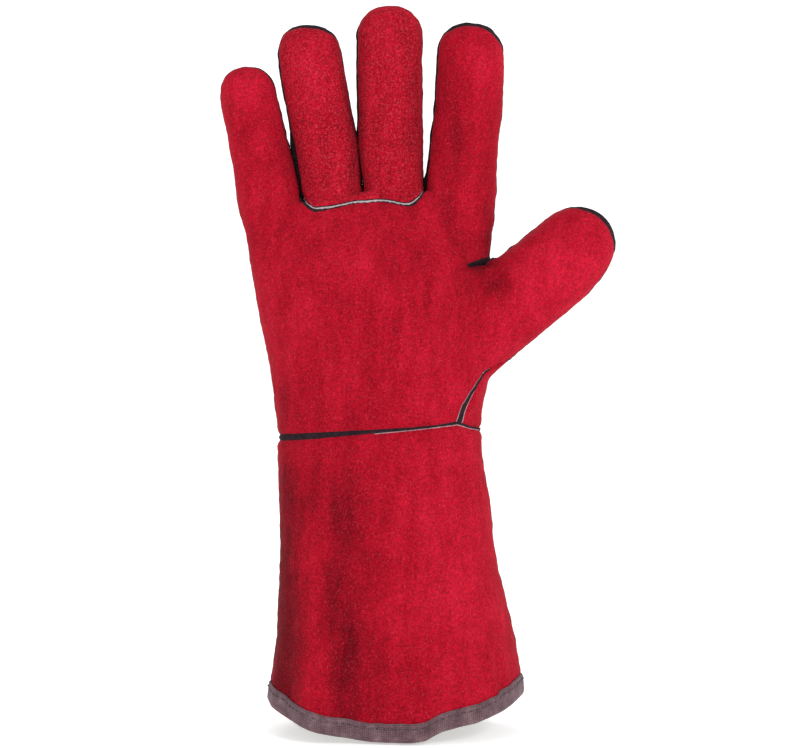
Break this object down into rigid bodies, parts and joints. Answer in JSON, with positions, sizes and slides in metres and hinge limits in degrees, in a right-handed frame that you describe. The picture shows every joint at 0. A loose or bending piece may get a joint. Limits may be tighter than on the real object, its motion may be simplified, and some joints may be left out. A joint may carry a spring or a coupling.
{
  "type": "welding gauntlet",
  "caption": "Welding gauntlet for the right hand: soft split-leather hand with welted seams, set-in finger front, cloth lining, fingers and thumb that fold, and a flared cuff with a bound hem.",
  "frame": {"origin": "middle of the cuff's mouth, at the height of the hem's lowest point", "axes": "+Z from the cuff to the fingertips; -Y is the palm side; +X is the thumb side"},
  "size_m": [0.1894, 0.0926, 0.3443],
  "materials": {
    "red_suede": "matte suede nap",
    "dark_welt": "matte",
    "lining_cloth": "brushed cotton",
    "hem_tape": "woven tape"
  },
  "bodies": {
    "hand": {"cuff_front": "red_suede", "cuff_back": "red_suede", "palm_front": "red_suede", "hand_back": "red_suede", "hand_lining": "lining_cloth", "hem_binding": "hem_tape", "wrist_welt": "dark_welt", "cuff_welt_left": "dark_welt", "cuff_welt_right": "dark_welt", "hand_welt_left": "dark_welt", "hand_welt_right": "dark_welt", "index_side_welt": "dark_welt", "thumb_seam_welt": "dark_welt", "finger_seam_welt": "dark_welt", "little_knuckle_crease": "red_suede", "ring_knuckle_crease": "red_suede", "middle_knuckle_crease": "red_suede", "index_knuckle_crease": "red_suede", "thumb_knuckle_crease": "red_suede"},
    "little_base": {"little_base_front": "red_suede", "little_base_back": "red_suede", "little_mid_crease": "red_suede", "little_lining": "lining_cloth"},
    "little_tip": {"little_tip_front": "red_suede", "little_tip_back": "red_suede", "little_tip_welt": "dark_welt"},
    "ring_base": {"ring_base_front": "red_suede", "ring_base_back": "red_suede", "ring_mid_crease": "red_suede", "ring_lining": "lining_cloth"},
    "ring_tip": {"ring_tip_front": "red_suede", "ring_tip_back": "red_suede", "ring_tip_welt": "dark_welt"},
    "middle_base": {"middle_base_front": "red_suede", "middle_base_back": "red_suede", "middle_mid_crease": "red_suede", "middle_lining": "lining_cloth"},
    "middle_tip": {"middle_tip_front": "red_suede", "middle_tip_back": "red_suede", "middle_tip_welt": "dark_welt"},
    "index_base": {"index_base_front": "red_suede", "index_base_back": "red_suede", "index_mid_crease": "red_suede", "index_lining": "lining_cloth"},
    "index_tip": {"index_tip_front": "red_suede", "index_tip_back": "red_suede", "index_tip_welt": "dark_welt"},
    "thumb_base": {"thumb_base_front": "red_suede", "thumb_base_back": "red_suede", "thumb_mid_crease": "red_suede", "thumb_lining": "lining_cloth"},
    "thumb_tip": {"thumb_tip_front": "red_suede", "thumb_tip_back": "red_suede", "thumb_tip_welt": "dark_welt"}
  },
  "joints": [
    {"name": "little_knuckle", "type": "hinge", "parent": "hand", "child": "little_base", "pos_m": [-0.0598, 0, 0.25], "axis": [0.9836, 0, 0.1805], "range_deg": [0, 45], "deforming": ["little_knuckle_crease", "little_lining"]},
    {"name": "little_middle_joint", "type": "hinge", "parent": "little_base", "child": "little_tip", "pos_m": [-0.0654, 0, 0.28049], "axis": [0.9836, 0, 0.1805], "range_deg": [0, 60], "deforming": ["little_mid_crease"]},
    {"name": "ring_knuckle", "type": "hinge", "parent": "hand", "child": "ring_base", "pos_m": [-0.0296, 0, 0.25], "axis": [0.9893, 0, 0.1461], "range_deg": [0, 45], "deforming": ["ring_knuckle_crease", "ring_lining", "finger_seam_welt"]},
    {"name": "ring_middle_joint", "type": "hinge", "parent": "ring_base", "child": "ring_tip", "pos_m": [-0.03559, 0, 0.29056], "axis": [0.9893, 0, 0.1461], "range_deg": [0, 60], "deforming": ["ring_mid_crease"]},
    {"name": "middle_knuckle", "type": "hinge", "parent": "hand", "child": "middle_base", "pos_m": [-0.0014, 0, 0.25], "axis": [0.9998, 0, 0.0183], "range_deg": [0, 45], "deforming": ["middle_knuckle_crease", "middle_lining"]},
    {"name": "middle_middle_joint", "type": "hinge", "parent": "middle_base", "child": "middle_tip", "pos_m": [-0.00222, 0, 0.29499], "axis": [0.9998, 0, 0.0183], "range_deg": [0, 60], "deforming": ["middle_mid_crease"]},
    {"name": "index_knuckle", "type": "hinge", "parent": "hand", "child": "index_base", "pos_m": [0.0306, 0, 0.25], "axis": [0.9982, 0, -0.0593], "range_deg": [0, 45], "deforming": ["index_knuckle_crease", "index_lining"]},
    {"name": "index_middle_joint", "type": "hinge", "parent": "index_base", "child": "index_tip", "pos_m": [0.03309, 0, 0.29193], "axis": [0.9982, 0, -0.0593], "range_deg": [0, 60], "deforming": ["index_mid_crease"]},
    {"name": "thumb_knuckle", "type": "hinge", "parent": "hand", "child": "thumb_base", "pos_m": [0.0576, 0, 0.2038], "axis": [0.6361, 0, -0.7716], "range_deg": [0, 35], "deforming": ["thumb_knuckle_crease", "thumb_lining"]},
    {"name": "thumb_middle_joint", "type": "hinge", "parent": "thumb_base", "child": "thumb_tip", "pos_m": [0.07766, 0, 0.22034], "axis": [0.6361, 0, -0.7716], "range_deg": [0, 45], "deforming": ["thumb_mid_crease"]}
  ]
}
